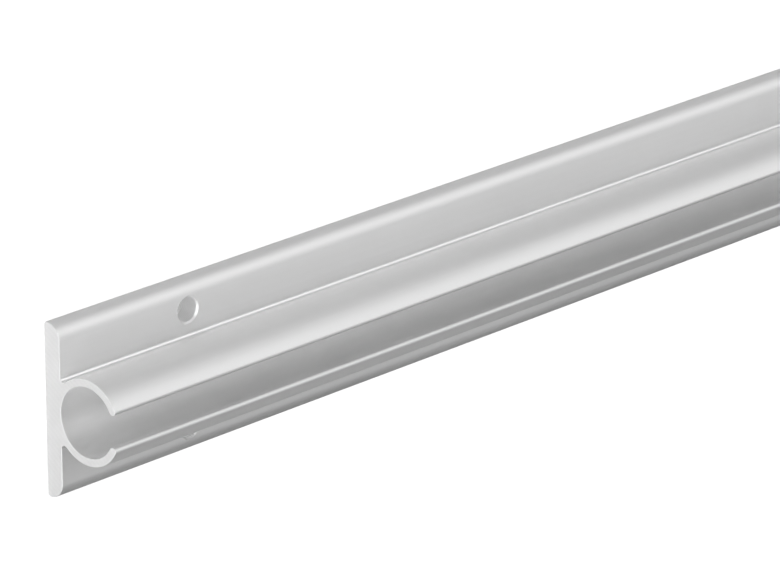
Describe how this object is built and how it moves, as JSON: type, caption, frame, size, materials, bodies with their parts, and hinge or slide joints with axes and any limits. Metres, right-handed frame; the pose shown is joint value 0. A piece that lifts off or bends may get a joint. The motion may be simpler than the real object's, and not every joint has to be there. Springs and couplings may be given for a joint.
{
  "type": "awning rail",
  "caption": "Straight extruded rail: a flat screw-on plate with a round channel along its front, open through a narrow slot, that holds the bead of an awning.",
  "frame": {"origin": "middle of the flat back face, halfway along the rail; the rail lies on this face", "axes": "+X along the length, +Y across the plate (up, when the rail is screwed to an upright wall), +Z out of the plate towards the slot"},
  "size_m": [1, 0.026, 0.0138],
  "materials": {
    "anodised_aluminium": "natural silver anodised, satin, with faint extrusion lines along the length"
  },
  "bodies": {
    "root": {"awning_rail": "anodised_aluminium"}
  },
  "joints": []
}
